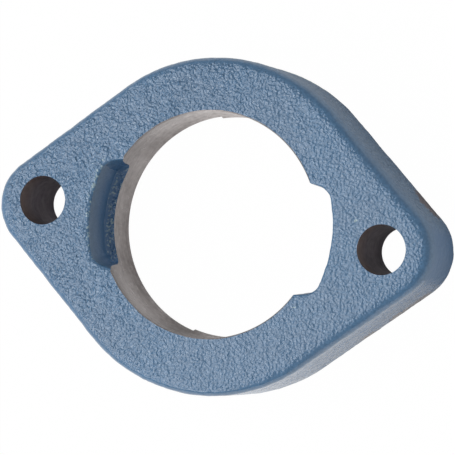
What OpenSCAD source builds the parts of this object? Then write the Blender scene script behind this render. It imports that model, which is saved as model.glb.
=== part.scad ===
// Oval two-bolt flanged housing for an insert bearing: one painted iron casting with a spherical seat.
// The origin is on the bore axis at the mounting face, +Z runs along the bore to the slotted face,
// and +X runs along the line of the two bolt holes.

/* [Casting] */
// Overall width, across the round middle
body_w = 66.8; // [62:0.1:72]
// Thickness, from the mounting face to the slotted face
body_t = 17.3; // [15:0.1:20]
// Radius of each end, round the bolt hole's centre
end_r = 9.75; // [8:0.25:12]
// Rounding of the edge round the slotted face
front_edge_r = 2.1; // [0.5:0.1:3]
// Rounding of the edge round the mounting face
back_edge_r = 0.8; // [0.3:0.1:1.5]

/* [Bolt holes] */
// Distance between the two hole centres
bolt_spacing = 71.5; // [69:0.5:76]
// Diameter of each hole
bolt_hole_d = 9.8; // [6:0.1:11]

/* [Bearing seat] */
// Diameter of the spherical seat
seat_d = 47; // [44:0.1:48]
// Height of the seat's centre above the mounting face
seat_z = 9.8; // [8.5:0.1:11]
// Chamfer on the seat's front edge
seat_chamfer = 0.3; // [0.1:0.05:0.6]
// Chamfer on the seat's back edge, above the relief
back_chamfer = 0.45; // [0.2:0.05:0.8]

/* [Loading slots] */
// Radius of the slots' outer wall, from the bore axis
slot_r = 25.4; // [24.8:0.1:26.5]
// Width of a slot where it opens into the seat
slot_w = 21.9; // [15:0.1:25]
// Slant of each side wall, so that the slot narrows outwards
slot_slant = 10; // [0:0.5:20]
// Rounding of the slot's two outer corners
slot_corner_r = 3.2; // [1:0.1:4]
// Height of the slot's floor above the mounting face
slot_floor_z = 8.3; // [7:0.1:11]

/* [Back relief] */
// Radius of the cast relief behind the seat
relief_r = 25.2; // [24:0.1:27]
// Depth of the relief from the mounting face
relief_depth = 2.4; // [1.5:0.1:4]
// Angle of each land that interrupts the relief, at the top and the bottom
land_angle = 28; // [10:1:60]
// Height of the chamfer behind each land
land_chamfer = 2; // [0.5:0.1:2.5]

/* [Hidden] */
$fn = 128;
paint_blue = [0.44, 0.53, 0.61];
past = 1; // how far a cut runs past the face that it opens
blend = 0.005; // how far a round stays inside the face that it runs into, so that they cross cleanly
far_out = 2; // a cut's far corners lie this many times as far out as the wall that they pass
slot_reach = 4; // how far a slot's cut runs on into the bore

// Outline: a round middle and two round ends, joined by straight tangent flanks
body_r = body_w / 2;
end_x = bolt_spacing / 2;
body_l = bolt_spacing + 2 * end_r;
flank_a = acos((body_r - end_r) / end_x);
flank_in = [cos(flank_a), sin(flank_a)] * (body_r - end_r);
flank_l = end_x * sin(flank_a);

// Seat: the sphere's radius, and how wide the seat is at the slotted face, above its back chamfer
// and above the lands' chamfer
seat_r = seat_d / 2;
seat_mouth_r = sqrt(pow(seat_r, 2) - pow(body_t - seat_z, 2));
seat_back_r = sqrt(pow(seat_r, 2) - pow(seat_z - relief_depth - back_chamfer, 2));
seat_land_r = sqrt(pow(seat_r, 2) - pow(seat_z - land_chamfer, 2));

// Slot: the side wall's distance from the bore axis, and the corner that touches it and the outer wall
slot_open_x = sqrt(pow(seat_mouth_r, 2) - pow(slot_w / 2, 2));
side_normal = [sin(slot_slant), cos(slot_slant)];
side_d = side_normal * [slot_open_x, slot_w / 2];
corner_x = slot_r - slot_corner_r + blend;
corner_a = 90 - slot_slant - acos((side_d - slot_corner_r) / corner_x);
corner = [cos(corner_a), sin(corner_a)] * corner_x;
slot_in_x = slot_open_x - slot_reach;
slot_in_y = (side_d - blend - slot_in_x * side_normal[0]) / side_normal[1];
corner_side = corner + side_normal * (slot_corner_r - blend);

// Section of the rough casting from x = from out to a wall at x = to, with spare metal on both faces
module wall_section(from, to, spare) {
  w = to - from;
  top = body_t + spare - front_edge_r;
  bottom = back_edge_r - spare;
  translate([from, bottom]) square([w, top - bottom]);
  translate([from, top]) square([w - front_edge_r, front_edge_r]);
  translate([from, bottom - back_edge_r]) square([w - back_edge_r, back_edge_r]);
  translate([to - front_edge_r, top]) quarter_disc(front_edge_r);
  translate([to - back_edge_r, bottom]) mirror([0, 1]) quarter_disc(back_edge_r);
}

module quarter_disc(r) {
  intersection() {
    circle(r);
    square(r);
  }
}

// Disc with the casting's rounded edges
module edged_disc(r) {
  rotate_extrude() wall_section(0, r, 2 * blend);
}

// Straight flank between the middle and one end, in the corner where x and y are positive
module flank() {
  translate([end_x, 0, 0])
    rotate([0, 0, flank_a])
      rotate([90, 0, 180])
        linear_extrude(flank_l) mirror([1, 0]) wall_section(-past, end_r - blend, blend);
}

// Middle of the casting, between the lines that the flanks start from
module core() {
  translate([0, 0, -2 * blend])
    linear_extrude(body_t + 4 * blend)
      polygon([
        [end_x, 0], flank_in, [-flank_in[0], flank_in[1]],
        [-end_x, 0], -flank_in, [flank_in[0], -flank_in[1]]
      ]);
}

// Rough casting, faced flat on both sides
module outer_casting() {
  intersection() {
    union() {
      edged_disc(body_r);
      for (x = [-end_x, end_x]) translate([x, 0, 0]) edged_disc(end_r);
      for (mx = [0, 1], my = [0, 1])
        mirror([mx, 0, 0]) mirror([0, my, 0]) flank();
      core();
    }
    translate([-body_l, -body_w, 0]) cube([2 * body_l, 2 * body_w, body_t]);
  }
}

// Spherical seat with its chamfered front edge
module seat_cut() {
  translate([0, 0, seat_z]) sphere(seat_r);
  translate([0, 0, body_t - seat_chamfer])
    cylinder(r1 = seat_mouth_r, r2 = seat_mouth_r + seat_chamfer + past, h = seat_chamfer + past);
}

// Half of a loading slot's plan, where y is positive
module half_slot_plan() {
  polygon([
    [slot_in_x, 0], [slot_in_x, slot_in_y], corner_side, corner,
    corner * far_out, [slot_r * far_out, 0]
  ]);
  translate(corner) circle(slot_corner_r);
}

// Loading slot on the +X side, open to the front and to the seat
module slot_cut() {
  translate([0, 0, slot_floor_z])
    linear_extrude(body_t - slot_floor_z + past)
      intersection() {
        circle(slot_r);
        union() {
          half_slot_plan();
          mirror([0, 1]) half_slot_plan();
        }
      }
}

// Cone that chamfers the seat's back edge at 45 degrees, from height z down, where the seat's radius is r
module back_cone(z, r, chamfer) {
  reach = chamfer + past;
  translate([0, 0, z - reach]) cylinder(r1 = r + reach, r2 = r - past, h = reach + past);
}

// Relief behind the seat, left out where the two lands stand
module relief_cut() {
  difference() {
    union() {
      translate([0, 0, -past]) cylinder(r = relief_r, h = relief_depth + past);
      back_cone(relief_depth + back_chamfer, seat_back_r, back_chamfer);
    }
    for (side = [-1, 1])
      translate([0, 0, -2 * past])
        linear_extrude(relief_depth + 4 * past)
          polygon([
            [0, 0],
            [-tan(land_angle / 2), side] * far_out * relief_r,
            [tan(land_angle / 2), side] * far_out * relief_r
          ]);
  }
  back_cone(land_chamfer, seat_land_r, land_chamfer);
}

module bolt_holes() {
  for (x = [-1, 1] * bolt_spacing / 2)
    translate([x, 0, -past]) cylinder(d = bolt_hole_d, h = body_t + 2 * past);
}

module housing() {
  color(paint_blue)
    difference() {
      outer_casting();
      seat_cut();
      for (turn = [0, 180]) rotate([0, 0, turn]) slot_cut();
      relief_cut();
      bolt_holes();
    }
}

housing();
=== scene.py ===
import math
import bpy
from mathutils import Matrix, Vector


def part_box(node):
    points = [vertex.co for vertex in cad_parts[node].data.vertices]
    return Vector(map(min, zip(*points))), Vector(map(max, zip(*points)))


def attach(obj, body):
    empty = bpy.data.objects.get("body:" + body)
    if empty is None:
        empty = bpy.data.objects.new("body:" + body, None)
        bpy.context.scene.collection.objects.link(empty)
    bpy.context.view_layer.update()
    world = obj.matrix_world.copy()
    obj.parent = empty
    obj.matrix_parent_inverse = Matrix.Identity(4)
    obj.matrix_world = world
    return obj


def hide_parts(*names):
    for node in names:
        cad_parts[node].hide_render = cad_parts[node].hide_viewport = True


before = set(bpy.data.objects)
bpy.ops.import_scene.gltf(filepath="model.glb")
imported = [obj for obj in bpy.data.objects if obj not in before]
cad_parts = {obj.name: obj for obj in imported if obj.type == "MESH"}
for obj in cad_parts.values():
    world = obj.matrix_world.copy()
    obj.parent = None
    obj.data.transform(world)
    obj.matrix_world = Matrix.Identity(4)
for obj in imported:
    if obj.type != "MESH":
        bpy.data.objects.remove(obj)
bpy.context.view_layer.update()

cadLow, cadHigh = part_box("housing")
mm = 0.001
onPlane = 1e-6                      # a point this near to a plane lies on it
flatAngle = 0.05                    # degrees between faces that count as one flat face
sides = {"large": 192, "small": 96, "corner": 48}       # of the round cutters


def pickOnly(obj):
    bpy.ops.object.select_all(action="DESELECT")
    obj.select_set(True)
    bpy.context.view_layer.objects.active = obj


def editAll(obj, mode):
    pickOnly(obj)
    bpy.ops.object.mode_set(mode="EDIT")
    bpy.ops.mesh.select_mode(type=mode)
    bpy.ops.mesh.select_all(action="SELECT")


def objectMode():
    bpy.ops.object.mode_set(mode="OBJECT")


# Names the active object and writes its place into its mesh
def settle(name):
    obj = bpy.context.object
    obj.name = name
    bpy.ops.object.transform_apply(location=True, rotation=True, scale=True)
    return obj


def addCylinder(name, radius, low, high, place=(0, 0), size="large"):
    bpy.ops.object.select_all(action="DESELECT")
    bpy.ops.mesh.primitive_cylinder_add(
        vertices=sides[size], radius=radius, depth=high - low, location=(*place, (low + high) / 2))
    return settle(name)


def addCone(name, lowRadius, highRadius, low, high, place=(0, 0), size="large"):
    bpy.ops.object.select_all(action="DESELECT")
    bpy.ops.mesh.primitive_cone_add(
        vertices=sides[size], radius1=lowRadius, radius2=highRadius, depth=high - low,
        location=(*place, (low + high) / 2))
    return settle(name)


def wrapTogether(name, parts):
    bpy.ops.object.select_all(action="DESELECT")
    for part in parts:
        part.select_set(True)
    bpy.context.view_layer.objects.active = parts[0]
    bpy.ops.object.join()
    obj = bpy.context.object
    obj.name = name
    editAll(obj, "VERT")
    bpy.ops.mesh.convex_hull()
    bpy.ops.mesh.select_all(action="SELECT")
    bpy.ops.mesh.dissolve_limited(angle_limit=math.radians(flatAngle))
    objectMode()
    return obj


def turnedCopy(obj, name, degrees):
    pickOnly(obj)
    bpy.ops.object.duplicate(linked=False)
    bpy.context.object.rotation_euler = (0, 0, math.radians(degrees))
    return settle(name)


def applyModifier(obj, modifier):
    pickOnly(obj)
    bpy.ops.object.modifier_apply(modifier=modifier.name)


def cutAway(obj, tool, solver="MANIFOLD"):
    cut = obj.modifiers.new("cut", "BOOLEAN")
    cut.operation = "DIFFERENCE"
    cut.solver = solver
    cut.object = tool
    applyModifier(obj, cut)
    bpy.data.objects.remove(tool)


def bevelRim(obj, isRim, rounding):
    editAll(obj, "EDGE")
    bpy.ops.mesh.select_all(action="DESELECT")
    objectMode()
    points = [v.co for v in obj.data.vertices]
    for edge in obj.data.edges:
        edge.select = all(isRim(points[i]) for i in edge.vertices)
    bpy.ops.object.mode_set(mode="EDIT")
    radius, steps = rounding
    bpy.ops.mesh.bevel(offset=radius, segments=steps, profile=0.5, clamp_overlap=True)
    objectMode()


# What the pattern maker and the foundry give the casting; each rounding has a radius and a number of steps
castForm = {
    "endRadius": 9.75 * mm,
    "frontRounding": (2.1 * mm, 8),
    "backRounding": (0.8 * mm, 4),
    "millingStock": 0.6 * mm,       # iron left on the back for the mill
    "slotWall": 25.4 * mm,          # from the bore axis
    "slotWidth": 21.9 * mm,         # where it opens into the seat
    "slotCorner": 3.2 * mm,
    "slotSlant": 10,                # degrees that the side walls close in
    "slotReach": 8 * mm,            # how far the slot's cutter runs into the bore
    "slotFloor": 8.3 * mm,
    "slotDraft": 0.62 * mm,         # how far the side walls close in from the face to the floor
    "slotFillet": (1.1 * mm, 5),
    "slotRim": (0.35 * mm, 4),
    "rimReach": 1 * mm,             # the rim lies no farther than this outside the slot's wall
    "reliefRadius": 25.2 * mm,
    "reliefDepth": 2.4 * mm,
    "landAngle": 28,
    "shift": (0.1 * mm, -0.33 * mm, 0),     # where the casting lay in the machining fixture
    "turn": 0.6,                            # and how far it was turned, in degrees
}

# What the lathe, the drill and the mill take off
machining = {
    "seatRadius": 23.5 * mm,
    "seatHeight": 9.8 * mm,
    "seatRings": 128,
    "seatChamfer": 0.3 * mm,
    "backChamfer": 0.45 * mm,
    "landChamfer": 2 * mm,
    "boltSpacing": 71.5 * mm,
    "boltRadius": 4.9 * mm,
    "millWidth": 120 * mm,
    "past": 2 * mm,                 # how far a tool runs past the face that it opens
    "smoothAngle": 40,              # degrees past which an edge stays sharp
}


def seatRadiusAt(height):
    return math.sqrt(machining["seatRadius"] ** 2 - (height - machining["seatHeight"]) ** 2)


# The outer corner's centre, where its rounding touches both the slanted side wall and the outer wall
def findSlotCorner(slant):
    form = castForm
    halfWidth = form["slotWidth"] / 2
    openX = math.sqrt(seatRadiusAt(cadHigh.z) ** 2 - halfWidth ** 2)
    wallGap = math.sin(slant) * openX + math.cos(slant) * halfWidth - form["slotCorner"]
    reach = form["slotWall"] - form["slotCorner"]
    angle = math.pi / 2 - slant - math.acos(wallGap / reach)
    return math.cos(angle) * reach, math.sin(angle) * reach


def makeSlotCore(top):
    form = castForm
    slant = math.radians(form["slotSlant"])
    x, y = findSlotCorner(slant)
    inward = (-math.cos(slant) * form["slotReach"], math.sin(slant) * form["slotReach"])
    low, high = form["slotFloor"], top + machining["past"]
    overrun = machining["past"] / (top - low)
    parts = [addCylinder("slotArc", form["slotWall"], low, high)]
    editAll(parts[0], "VERT")
    arcStart = x * form["slotWall"] / math.hypot(x, y)
    bpy.ops.mesh.bisect(plane_co=(arcStart, 0, 0), plane_no=(1, 0, 0), use_fill=True, clear_inner=True)
    objectMode()
    floorRadius = form["slotCorner"] - form["slotDraft"]
    openRadius = form["slotCorner"] + form["slotDraft"] * overrun
    for side in (-1, 1):
        corner = (x, side * y)
        inner = (x + inward[0], side * (y + inward[1]))
        for place in (corner, inner):
            parts.append(addCone("slotCorner", floorRadius, openRadius, low, high, place, "corner"))
    core = wrapTogether("slotCore", parts)
    bevelRim(core, lambda p: p.z < low + onPlane, form["slotFillet"])
    return core


# Keeps the right-hand side of a round cutter, up to the walls of the two lands
def trimAtLands(core):
    editAll(core, "VERT")
    half = math.radians(castForm["landAngle"] / 2)
    for side in (-1, 1):
        normal = (math.cos(half), side * math.sin(half), 0)
        bpy.ops.mesh.bisect(plane_co=(0, 0, 0), plane_no=normal, use_fill=True, clear_inner=True)
        bpy.ops.mesh.select_all(action="SELECT")
    objectMode()
    return core


# Places on the two bolt holes' axes, left and right
def boltPlaces():
    return [(side * machining["boltSpacing"] / 2, 0) for side in (-1, 1)]


# Cuts with a copy turned round to the left side, then with the right-hand core itself
def cutBothSides(casting, core, leftName):
    for cutter in (turnedCopy(core, leftName, 180), core):
        cutAway(casting, cutter, "EXACT")


def makeCasting():
    form = castForm
    top, back = cadHigh.z, cadLow.z - form["millingStock"]
    parts = [addCylinder("castMiddle", cadHigh.y, back, top)]
    for place in boltPlaces():
        parts.append(addCylinder("castEnd", form["endRadius"], back, top, place, "small"))
    casting = wrapTogether("castHousing", parts)
    bevelRim(casting, lambda p: p.z > top - onPlane, form["frontRounding"])
    bevelRim(casting, lambda p: p.z < back + onPlane, form["backRounding"])

    cutBothSides(casting, makeSlotCore(top), "leftSlotCore")
    rimEnd = form["slotWall"] + form["rimReach"]
    bevelRim(casting, lambda p: p.z > top - onPlane and math.hypot(p.x, p.y) < rimEnd, form["slotRim"])
    relief = addCylinder("reliefCore", form["reliefRadius"], back - machining["past"], form["reliefDepth"])
    cutBothSides(casting, trimAtLands(relief), "leftReliefCore")

    pickOnly(casting)
    casting.location = form["shift"]
    casting.rotation_euler = (0, 0, math.radians(form["turn"]))
    return settle("castHousing")


# What the sand leaves on its skin
castSkin = {
    "voxel": 0.37 * mm,
    "softening": (0.5, 3),          # strength and passes that round off the pattern's sharp edges
    "layers": 2,                    # of finer noise in each of these
    "waveSize": 11 * mm,
    "waveDepth": 0.14 * mm,
    "lumpSize": 2.6 * mm,
    "lumpDepth": 0.14 * mm,
    "grainSize": 1.1 * mm,
    "grainDepth": 0.12 * mm,
}


def roughen(casting):
    skin = castSkin
    remesh = casting.modifiers.new("remesh", "REMESH")
    remesh.mode = "VOXEL"
    remesh.voxel_size = skin["voxel"]
    applyModifier(casting, remesh)
    smooth = casting.modifiers.new("smooth", "SMOOTH")
    smooth.factor, smooth.iterations = skin["softening"]
    applyModifier(casting, smooth)
    for name in ("wave", "lump", "grain"):
        texture = bpy.data.textures.new(name, "CLOUDS")
        texture.noise_scale = skin[name + "Size"]
        texture.noise_depth = skin["layers"]
        displace = casting.modifiers.new(name, "DISPLACE")
        displace.texture = texture
        displace.texture_coords = "LOCAL"
        displace.strength = skin[name + "Depth"]
        displace.mid_level = 0.5    # so that the skin goes out as far as it goes in
        applyModifier(casting, displace)


# Cone that chamfers the seat's back edge, from this height down
def backCone(name, height, chamfer):
    mouth, reach, past = seatRadiusAt(height), chamfer + machining["past"], machining["past"]
    return addCone(name, mouth + reach, mouth - past, height - reach, height + past)


def machine(casting):
    tool = machining
    top, past = cadHigh.z, tool["past"]
    bpy.ops.object.select_all(action="DESELECT")
    bpy.ops.mesh.primitive_cube_add(
        size=1, location=(0, 0, cadLow.z - past), scale=(tool["millWidth"], tool["millWidth"], 2 * past))
    mill = settle("mill")

    bpy.ops.object.select_all(action="DESELECT")
    bpy.ops.mesh.primitive_uv_sphere_add(
        segments=sides["large"], ring_count=tool["seatRings"], radius=tool["seatRadius"],
        location=(0, 0, tool["seatHeight"]))
    ball = settle("ball")

    mouth, chamfer = seatRadiusAt(top), tool["seatChamfer"]
    front = addCone("frontChamfer", mouth, mouth + chamfer + past, top - chamfer, top + past)
    land = backCone("landChamfer", tool["landChamfer"], tool["landChamfer"])
    rightBack = trimAtLands(backCone(
        "backChamfer", castForm["reliefDepth"] + tool["backChamfer"], tool["backChamfer"]))
    backs = [turnedCopy(rightBack, "backChamfer", castForm["turn"] + turn) for turn in (0, 180)]
    bpy.data.objects.remove(rightBack)
    drills = [addCylinder("drill", tool["boltRadius"], -past, top + past, place, "small")
              for place in boltPlaces()]

    finishes = [(mill, "milledBack"), (ball, "turnedSeat"), (front, "turnedSeat"), (land, "turnedSeat")]
    finishes += [(back, "turnedSeat") for back in backs]
    finishes += [(drill, "drilledWall") for drill in drills]
    for cutter, finish in finishes:
        cutter.data.materials.append(materials[finish])
        cutAway(casting, cutter)


def newMaterial(name):
    material = bpy.data.materials.new(name)
    material.use_nodes = True
    return material, material.node_tree, material.node_tree.nodes["Principled BSDF"]


# Gives a socket a number or a colour, or another node's output
def feed(tree, socket, value):
    if isinstance(value, (float, int)):
        socket.default_value = value
    elif isinstance(value, tuple):
        socket.default_value = (*value, 1)
    else:
        tree.links.new(value, socket)


def noiseNode(tree, vector, scale, detail, roughness):
    noise = tree.nodes.new("ShaderNodeTexNoise")
    for socket, value in (("Vector", vector), ("Scale", scale), ("Detail", detail), ("Roughness", roughness)):
        feed(tree, noise.inputs[socket], value)
    return noise.outputs["Fac"]


def rampNode(tree, source, stops):
    ramp = tree.nodes.new("ShaderNodeValToRGB")
    for element, (place, colour) in zip(ramp.color_ramp.elements, stops):
        element.position = place
        element.color = (*colour, 1)
    feed(tree, ramp.inputs["Fac"], source)
    return ramp.outputs["Color"]


def rangeNode(tree, source, fromLow, fromHigh, toLow=0, toHigh=1):
    node = tree.nodes.new("ShaderNodeMapRange")
    for socket, value in (("Value", source), ("From Min", fromLow), ("From Max", fromHigh),
                          ("To Min", toLow), ("To Max", toHigh)):
        feed(tree, node.inputs[socket], value)
    return node.outputs["Result"]


def mathNode(tree, operation, first, second):
    node = tree.nodes.new("ShaderNodeMath")
    node.operation = operation
    feed(tree, node.inputs[0], first)
    feed(tree, node.inputs[1], second)
    return node.outputs[0]


def productNode(tree, first, *others):
    for other in others:
        first = mathNode(tree, "MULTIPLY", first, other)
    return first


def mixNode(tree, factor, first, second):
    mix = tree.nodes.new("ShaderNodeMix")
    mix.data_type = "RGBA"
    for socket, value in ((0, factor), (6, first), (7, second)):
        feed(tree, mix.inputs[socket], value)
    return mix.outputs[2]


def bumpNode(tree, height, strength, depth, under=None):
    bump = tree.nodes.new("ShaderNodeBump")
    for socket, value in (("Height", height), ("Strength", strength), ("Distance", depth)):
        feed(tree, bump.inputs[socket], value)
    if under:
        feed(tree, bump.inputs["Normal"], under)
    return bump.outputs["Normal"]


def attributeNode(tree, name):
    node = tree.nodes.new("ShaderNodeAttribute")
    node.attribute_name = name
    return node.outputs["Fac"]


def objectCoords(tree):
    return tree.nodes.new("ShaderNodeTexCoord").outputs["Object"]


def stretchNode(tree, vector, scale):
    node = tree.nodes.new("ShaderNodeMapping")
    node.inputs["Scale"].default_value = scale
    feed(tree, node.inputs["Vector"], vector)
    return node.outputs["Vector"]


def splitNode(tree, source):
    node = tree.nodes.new("ShaderNodeSeparateXYZ")
    feed(tree, node.inputs[0], source)
    return node.outputs


# 1 farther from the bore axis than this radius, 0 nearer
def beyondNode(tree, place, radius):
    squares = [productNode(tree, place[axis], place[axis]) for axis in ("X", "Y")]
    return mathNode(tree, "GREATER_THAN", mathNode(tree, "ADD", *squares), radius ** 2)


def srgb(*levels):
    return tuple(((c / 255 + 0.055) / 1.055) ** 2.4 if c > 10 else c / 255 / 12.92 for c in levels)


# One coat of satin paint that the sand's grain shows through, with painted shade in its creases and on its
# walls, painted sheen and shade on the walls that face up the picture, and painted glints along the left
# slot's rims
paintLook = {
    "base": srgb(76, 114, 149),
    # painted shade for the creases of the grain
    "shadedCrease": srgb(63, 100, 133),
    "dusty": srgb(86, 112, 140),
    # painted shade for the walls below the face, darker and bluer than the face
    "wallShade": srgb(68, 107, 147),
    # painted sheen and painted shade, mottled by the grain, on the walls that face up the picture
    "upperWallSheen": srgb(105, 132, 158),
    "upperWallShade": srgb(76, 104, 133),
    "bareIron": srgb(96, 78, 74),
    # pale specks, and painted glints along the left slot's rims
    "glintsAndSpecks": srgb(150, 172, 178),
    "baseStop": 0.8,                # of a crease's half width, where the painted shade ends and the base colour is full
    "mottleStops": (0.36, 0.64),    # of the grain, where the upper walls' painted shade and painted sheen are full
    "mottleShare": 0.85,
    "dust": (0.4, 0.7, 0, 0.4),     # from and to these levels of its noise, from and to these shares
    "wearAndGlints": (("glintsAndSpecks", 0.95, 1.1), ("bareIron", 0.85, 1.0)),       # where each begins and where it is full
    "wearAndGlintsShare": 0.85,
    # Each noise has its scale per metre, its detail and its roughness
    "waveNoise": (1250, 2, 0.5),
    "grainNoise": (1850, 1, 0.4),
    "pitNoise": (420, 1, 0.5),
    "speckNoise": (1700, 1, 0.6),
    "dustNoise": (65, 3, 0.55),
    "drawStretch": 0.6,             # the grain runs long along Z, as the pattern was drawn out of the sand
    "creaseWidth": 0.12,            # of the wave noise, to each side of its middle
    "pitDepth": 0.5 * mm,
    "waveDepth": 0.27 * mm,
    "shadedCreaseDepth": 0.02 * mm,
    "grainDepth": 0.42 * mm,
    "wallGrain": (0.2, 1.0),        # how much of all that shows on the end walls and on the long ones
    "lowerGrain": 0.4,              # a share of the long walls' grain, on those that face down the picture
    "coarse": (1, 0.3),             # how deep the coarse grain is on the left and on the right of the face
    "fine": (0.95, 0.75),           # and the fine grain
    "gloss": 0.9,
    "roughness": (0.4, 0.24),       # of the walls and of the face
    "rightDulling": 0.09,           # added to the roughness on the right of the face
    "lowerRoughness": 0.14,         # of the walls that face down the picture
    # Where a spot lies and which way it faces
    "upperFacing": (0.4, 0.75),     # the normal's Y where walls that face up the picture begin and are full
    "lowerFacing": (-0.6, -0.2),    # and where those that face down it are full and end
    "faceFacing": (0.8, 0.97),      # the normal's Z where the face's grain begins and is full
    "glossFacing": (0.1, 0.5),      # and where the walls' roughness turns into the face's
    "wallHeights": (12.5 * mm, 15.5 * mm),      # where the walls' look gives way to the face's
    "boreZone": 27 * mm,            # the slots' walls lie inside this radius, and the outer walls don't
    "rightLean": 0.5,               # how far the line between left and right leans over with Y
    "rightRange": (-18 * mm, 16 * mm),
}


# Shares from 0 to 1 that say where a spot of the paint lies and which way it faces
def findZones(tree):
    look = paintLook
    place = splitNode(tree, objectCoords(tree))
    facing = splitNode(tree, tree.nodes.new("ShaderNodeNewGeometry").outputs["Normal"])
    across = mathNode(tree, "SUBTRACT", place["X"], productNode(tree, place["Y"], look["rightLean"]))
    return {
        "upper": rangeNode(tree, facing["Y"], *look["upperFacing"]),
        "lower": rangeNode(tree, facing["Y"], *look["lowerFacing"], 1, 0),
        "wall": rangeNode(tree, place["Z"], *look["wallHeights"], 1, 0),
        "outer": beyondNode(tree, place, look["boreZone"]),
        "face": rangeNode(tree, facing["Z"], *look["faceFacing"]),
        "right": rangeNode(tree, across, *look["rightRange"]),
        "satin": rangeNode(tree, facing["Z"], *look["glossFacing"], *look["roughness"]),
    }


# Noises that the paint's colour and its bumps share, each from 0 to 1
def findPaintHeights(tree):
    look = paintLook
    coords = objectCoords(tree)
    drawn = stretchNode(tree, coords, (1, 1, look["drawStretch"]))
    names = ("wave", "grain", "pit", "speck")
    heights = {name: noiseNode(tree, drawn, *look[name + "Noise"]) for name in names}
    heights["dust"] = noiseNode(tree, coords, *look["dustNoise"])
    away = mathNode(tree, "ABSOLUTE", mathNode(tree, "SUBTRACT", heights["wave"], 0.5), 0)
    heights["shadedCrease"] = rangeNode(tree, away, 0, look["creaseWidth"])
    return heights


def paintColour(tree, zones, heights):
    look = paintLook
    # The creases of the grain are darkened with painted shade
    colour = rampNode(tree, heights["shadedCrease"], [(0, look["shadedCrease"]), (look["baseStop"], look["base"])])
    # The walls below the face are painted a darker, bluer shade than the face
    colour = mixNode(tree, zones["wall"], colour, look["wallShade"])
    colour = mixNode(tree, rangeNode(tree, heights["dust"], *look["dust"]), colour, look["dusty"])
    # The walls that face up the picture are painted lighter and greyer, a painted sheen mottled with painted
    # shade by the grain
    shadeAndSheen = (look["upperWallShade"], look["upperWallSheen"])
    mottledSheen = rampNode(tree, heights["grain"], zip(look["mottleStops"], shadeAndSheen))
    upperWallSheen = productNode(tree, zones["upper"], zones["wall"], zones["outer"], look["mottleShare"])
    colour = mixNode(tree, upperWallSheen, colour, mottledSheen)
    # Bare iron where the paint is rubbed off; pale specks and flecks, and painted glints on the left slot's
    # rims; each flecked by the speck noise
    for name, begins, full in look["wearAndGlints"]:
        patch = mathNode(tree, "ADD", attributeNode(tree, name), heights["speck"])
        share = rangeNode(tree, patch, begins, full, 0, look["wearAndGlintsShare"])
        colour = mixNode(tree, share, colour, look[name])
    return colour


def paintRoughness(tree, zones):
    look = paintLook
    satin = mathNode(tree, "ADD", zones["satin"], productNode(tree, zones["right"], look["rightDulling"]))
    smoother = rangeNode(tree, zones["lower"], 0, 1, 1, look["lowerRoughness"])
    return mathNode(tree, "MINIMUM", satin, smoother)


def paintNormal(tree, zones, heights):
    look = paintLook
    lower = productNode(tree, zones["lower"], look["lowerGrain"])
    longWall = productNode(tree, mathNode(tree, "MAXIMUM", zones["upper"], lower), zones["outer"])
    onWall = productNode(tree, rangeNode(tree, longWall, 0, 1, *look["wallGrain"]), zones["wall"])
    strengths = {}
    for grade in ("coarse", "fine"):
        onFace = productNode(tree, zones["face"], rangeNode(tree, zones["right"], 0, 1, *look[grade]))
        strengths[grade] = mathNode(tree, "MAXIMUM", onWall, onFace)
    normal = None
    for name, grade in (("pit", "coarse"), ("wave", "coarse"), ("shadedCrease", "coarse"), ("grain", "fine")):
        normal = bumpNode(tree, heights[name], strengths[grade], look[name + "Depth"], normal)
    return normal


def makePaint():
    material, tree, shader = newMaterial("castPaint")
    zones, heights = findZones(tree), findPaintHeights(tree)
    feed(tree, shader.inputs["Base Color"], paintColour(tree, zones, heights))
    feed(tree, shader.inputs["Specular IOR Level"], paintLook["gloss"])
    feed(tree, shader.inputs["Roughness"], paintRoughness(tree, zones))
    feed(tree, shader.inputs["Normal"], paintNormal(tree, zones, heights))
    return material


# Bare iron with fine tool marks and soft bands of painted reflection; each noise has its scale per metre,
# detail and roughness
metalLook = {
    "ringNoise": (2600, 2, 0.5),
    "mottleNoise": (900, 3, 0.5),
    "reflectionBandNoise": (75, 1, 0.4),
    "reflectionBandShare": 0.6,
    "fineShare": 0.2,               # of the rings and of the mottle
    "stops": (0.36, 0.64),          # where the iron is darkest and lightest
    # where the drilled walls' painted light and brown at the mouth begin and are full, and how strong
    "tintHeights": (11 * mm, 17.3 * mm),
    "tintShare": 0.8,
    "metallic": 0.85,
    "mottleRange": (0.3, 0.7),
    "polish": (0.08, -0.06),        # what the mottle adds to the roughness
    "ringStrength": 0.5,
    "ringDepth": 0.02 * mm,
}

# The drilled walls are painted lighter and browner towards the face: painted light where it falls into the
# holes' mouths, and brown iron at their rims; tool marks run long where their stretch is small
metalFinishes = {
    "turnedSeat": {"dark": srgb(140, 133, 131), "light": srgb(214, 207, 205), "roughness": 0.32},
    "drilledWall": {"dark": srgb(94, 90, 100), "light": srgb(158, 151, 158), "roughness": 0.34,
                    "mouthLightAndBrown": srgb(180, 156, 147)},
    "milledBack": {"dark": srgb(124, 119, 116), "light": srgb(164, 158, 153), "roughness": 0.38,
                   "toolMarks": (0.03, 0.7, 1)},
}


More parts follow.
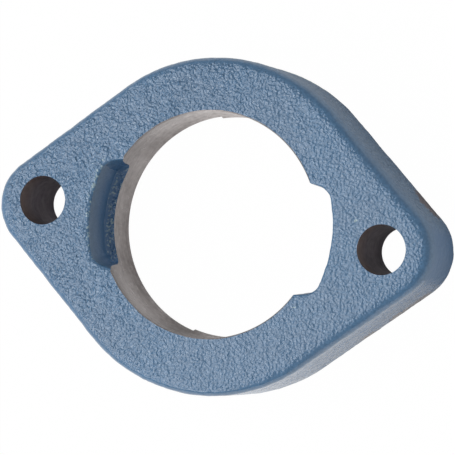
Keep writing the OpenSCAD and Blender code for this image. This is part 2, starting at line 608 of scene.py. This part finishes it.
def makeMetal(name, dark, light, roughness, mouthLightAndBrown=None, toolMarks=(0.06, 0.06, 1)):
    look = metalLook
    material, tree, shader = newMaterial(name)
    coords = objectCoords(tree)
    rings = noiseNode(tree, stretchNode(tree, coords, toolMarks), *look["ringNoise"])
    mottle = noiseNode(tree, coords, *look["mottleNoise"])
    # Soft bands of painted reflection
    reflectionBands = noiseNode(tree, coords, *look["reflectionBandNoise"])
    fine = productNode(tree, mathNode(tree, "ADD", rings, mottle), look["fineShare"])
    grey = mathNode(tree, "ADD", productNode(tree, reflectionBands, look["reflectionBandShare"]), fine)
    colour = rampNode(tree, grey, zip(look["stops"], (dark, light)))
    # Lighter and browner towards the face: painted light falling into the mouth, and brown iron at the rim
    if mouthLightAndBrown:
        height = splitNode(tree, coords)["Z"]
        near = rangeNode(tree, height, *look["tintHeights"], 0, look["tintShare"])
        colour = mixNode(tree, near, colour, mouthLightAndBrown)
    feed(tree, shader.inputs["Base Color"], colour)
    feed(tree, shader.inputs["Metallic"], look["metallic"])
    dulled, polished = [roughness + change for change in look["polish"]]
    feed(tree, shader.inputs["Roughness"], rangeNode(tree, mottle, *look["mottleRange"], dulled, polished))
    feed(tree, shader.inputs["Normal"], bumpNode(tree, rings, look["ringStrength"], look["ringDepth"]))
    return material


materials = {"castPaint": makePaint()}
for name, finish in metalFinishes.items():
    materials[name] = makeMetal(name, **finish)

# Where the paint is rubbed off at the back edge, and where pale marks lie: painted glints along the left
# slot's rims and at one slot end, pale specks on the face, and pale flecks on the slot's floor.
# All lengths here are in millimetres, and how pale or bare a place is runs from 0 to 1.
wearAndGlintPlaces = {
    "bareIron": [((39.5, 10.2, 1.2), 6.5), ((40.5, -8.8, 0.8), 4.5), ((37, -12.4, 0.8), 4.5),
                 ((31, -17.5, 0.8), 3.5), ((-30, 20, 0.6), 5)],        # centre and size
    "slotAngle": 24,                # degrees that the slot reaches to each side of the bolt holes' line
    "slotRim": (25.75, 17.1),       # radius and height
    # a painted glint along the slot's rim, this wide and this strong
    "rimWidth": 0.8,
    "rimGlint": 0.52,
    # and the left slot's floor is made paler, in flecks
    "floorRadii": (23, 25.2),
    "floorHeights": (8, 9.1),
    "floorPale": 0.4,
    # two pale specks on the face, and a painted glint at the top end of the left slot's rim
    "specks": [(29.9, 4.9, 17.3), (19.9, -13.5, 17.3), (-26.2, 8.6, 17)],
    "speckSize": 0.35,
    "speckPale": 0.8,
}


def bareness(point):
    return max(max(0, 1 - (point - Vector(centre)).length / size) for centre, size in wearAndGlintPlaces["bareIron"])


# How pale each point is: pale specks, painted glints along the left slot's rim, and pale flecks on its floor
def glintAndSpeckShare(point):
    paleMarks = wearAndGlintPlaces
    near = min((point - Vector(speck)).length for speck in paleMarks["specks"])
    pale = paleMarks["speckPale"] if near < paleMarks["speckSize"] else 0
    if abs(math.atan2(point.y, -point.x)) < math.radians(paleMarks["slotAngle"]):
        radius = math.hypot(point.x, point.y)
        rimRadius, rimHeight = paleMarks["slotRim"]
        rimGap = math.hypot(radius - rimRadius, point.z - rimHeight)
        pale = max(pale, max(0, 1 - rimGap / paleMarks["rimWidth"]) ** 0.5 * paleMarks["rimGlint"])
        inner, outer = paleMarks["floorRadii"]
        low, high = paleMarks["floorHeights"]
        if inner < radius < outer and low < point.z < high:
            pale = max(pale, paleMarks["floorPale"])
    return pale


def markWearAndGlints(casting):
    points = [v.co / mm for v in casting.data.vertices]
    for name, wearAndGlints in (("bareIron", bareness), ("glintsAndSpecks", glintAndSpeckShare)):
        attribute = casting.data.attributes.new(name, "FLOAT", "POINT")
        attribute.data.foreach_set("value", [wearAndGlints(point) for point in points])


# Smooth all over but for sharp edges, and flat on the milled back
def shade(casting):
    pickOnly(casting)
    bpy.ops.object.shade_smooth_by_angle(angle=math.radians(machining["smoothAngle"]))
    editAll(casting, "FACE")
    bpy.ops.mesh.select_all(action="DESELECT")
    casting.active_material_index = casting.data.materials.find("milledBack")
    bpy.ops.object.material_slot_select()
    bpy.ops.mesh.faces_shade_flat()
    objectMode()


casting = makeCasting()
print("casting formed:", len(casting.data.polygons), "faces")
casting.data.materials.clear()
for finish in materials.values():   # all before the cuts, so that each cut face keeps its tool's finish
    casting.data.materials.append(finish)
roughen(casting)
print("skin roughened:", len(casting.data.polygons), "faces")
machine(casting)
markWearAndGlints(casting)
shade(casting)
casting.data.calc_loop_triangles()
print("casting machined:", len(casting.data.loop_triangles), "triangles")
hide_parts("housing")
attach(casting, "root")


# Studio
studio = {
    "floorSize": 4,
    "floorHeight": -0.02 * mm,      # a hair under the part, so that the two faces don't flicker
    "paperGrey": 0.85,
    "paperRoughness": 0.9,
    "floorWhite": 0.99,
    "touchReach": 0.2 * mm,         # the floor lights what is closer to it than this, the part's back
    "touchGlow": 0.6,
    "worldFill": 0.22,
    "mirroredWorld": 0.08,          # how much of the world's white metal and paint mirror
    # And of the floor's: from this Y to this one, from this share to this one
    "mirroredBelow": (-34 * mm, -6 * mm, 0.95, 0.05),       # outside, from below the object to beside it
    "mirroredBore": (9 * mm, 20 * mm, 0.15, 1),             # and where the floor shows through the bore
    "boreZone": 26 * mm,
    "cameraPlace": (187.32 * mm, 6.70 * mm, 531.61 * mm),
    "cameraAim": (1.01 * mm, -0.16 * mm, 8.65 * mm),
    "cameraRoll": -8.09,            # degrees that the view's up leans from +Y towards its right
    "lens": 220.53,
    "sensor": 36,
    "clipStart": 0.01,
    # Each softbox has its place in metres, its width, its watts, and whether metal and paint mirror it
    "softboxes": {
        "topSoftbox": ((-0.54, 0.0, 0.9), 1.2, 9, True),
        "sideSoftbox": ((-0.62, -0.3, 0.75), 0.3, 1.4, True),
        "lowPanel": ((-0.3, -0.8, 0.5), 0.5, 2.8, True),
        "rightFill": ((0.8, 0.25, 0.5), 0.6, 1.5, False),
    },
}


# White for the camera and behind glass, and a share of it in what metal and paint reflect
def backdropShare(tree, share):
    path = tree.nodes.new("ShaderNodeLightPath").outputs
    mirrored = productNode(tree, path["Is Glossy Ray"], share)
    direct = mathNode(tree, "MAXIMUM", path["Is Camera Ray"], path["Is Transmission Ray"])
    return mathNode(tree, "MAXIMUM", direct, mirrored)


def mirroredFloor(tree):
    place = splitNode(tree, objectCoords(tree))
    outside = beyondNode(tree, place, studio["boreZone"])
    inBore = mathNode(tree, "SUBTRACT", 1, outside)
    shares = [productNode(tree, rangeNode(tree, place["Y"], *studio[name]), zone)
              for name, zone in (("mirroredBelow", outside), ("mirroredBore", inBore))]
    return mathNode(tree, "ADD", *shares)


def mixShaders(tree, factor, first, second):
    mix = tree.nodes.new("ShaderNodeMixShader")
    for socket, source in enumerate((factor, first, second)):
        feed(tree, mix.inputs[socket], source)
    return mix.outputs[0]


def makeFloor():
    bpy.ops.object.select_all(action="DESELECT")
    bpy.ops.mesh.primitive_plane_add(size=studio["floorSize"], location=(0, 0, studio["floorHeight"]))
    floor = bpy.context.object
    floor.name = "studioFloor"
    material, tree, shader = newMaterial("studioPaper")
    feed(tree, shader.inputs["Base Color"], (studio["paperGrey"],) * 3)
    feed(tree, shader.inputs["Roughness"], studio["paperRoughness"])
    white = rangeNode(tree, backdropShare(tree, mirroredFloor(tree)), 0, 1, 0, studio["floorWhite"])
    rayLength = tree.nodes.new("ShaderNodeLightPath").outputs["Ray Length"]
    touching = mathNode(tree, "LESS_THAN", rayLength, studio["touchReach"])
    glowShare = mathNode(tree, "MAXIMUM", white, productNode(tree, touching, studio["touchGlow"]))
    glow = tree.nodes.new("ShaderNodeEmission").outputs[0]
    paper = mixShaders(tree, glowShare, shader.outputs[0], glow)
    fromBelow = tree.nodes.new("ShaderNodeNewGeometry").outputs["Backfacing"]
    clear = tree.nodes.new("ShaderNodeBsdfTransparent").outputs[0]      # so that the back can be looked at
    surface = mixShaders(tree, fromBelow, paper, clear)
    feed(tree, tree.nodes["Material Output"].inputs["Surface"], surface)
    material.cycles.emission_sampling = "NONE"          # or its two triangles light the back unevenly
    floor.data.materials.append(material)


def makeWorld():
    world = bpy.data.worlds.new("studioWorld")
    bpy.context.scene.world = world
    world.use_nodes = True
    tree = world.node_tree
    background = tree.nodes["Background"]
    feed(tree, background.inputs["Color"], (1, 1, 1))
    share = backdropShare(tree, studio["mirroredWorld"])
    feed(tree, background.inputs["Strength"], rangeNode(tree, share, 0, 1, studio["worldFill"], 1))


def addSoftbox(name, place, width, watts, mirrored):
    light = bpy.data.lights.new(name, "AREA")
    light.size = width
    light.energy = watts
    lamp = bpy.data.objects.new(name, light)
    bpy.context.scene.collection.objects.link(lamp)
    lamp.location = place
    lamp.rotation_euler = (-Vector(place)).to_track_quat("-Z", "Y").to_euler()
    lamp.visible_glossy = mirrored


def makeCamera():
    camera = bpy.data.objects.new("camera", bpy.data.cameras.new("camera"))
    bpy.context.scene.collection.objects.link(camera)
    camera.data.lens = studio["lens"]
    camera.data.sensor_width = studio["sensor"]
    camera.data.clip_start = studio["clipStart"]
    place, aim = Vector(studio["cameraPlace"]), Vector(studio["cameraAim"])
    forward = (aim - place).normalized()
    right = forward.cross(Vector((0, 1, 0))).normalized()
    up = right.cross(forward)
    roll = math.radians(studio["cameraRoll"])
    up, right = up * math.cos(roll) + right * math.sin(roll), right * math.cos(roll) - up * math.sin(roll)
    turn = Matrix((right, up, -forward)).transposed().to_4x4()
    camera.matrix_world = Matrix.Translation(place) @ turn
    bpy.context.scene.camera = camera


makeFloor()
makeWorld()
makeCamera()
for name, softbox in studio["softboxes"].items():
    addSoftbox(name, *softbox)
bpy.context.scene.view_settings.view_transform = "Standard"
print("studio ready")
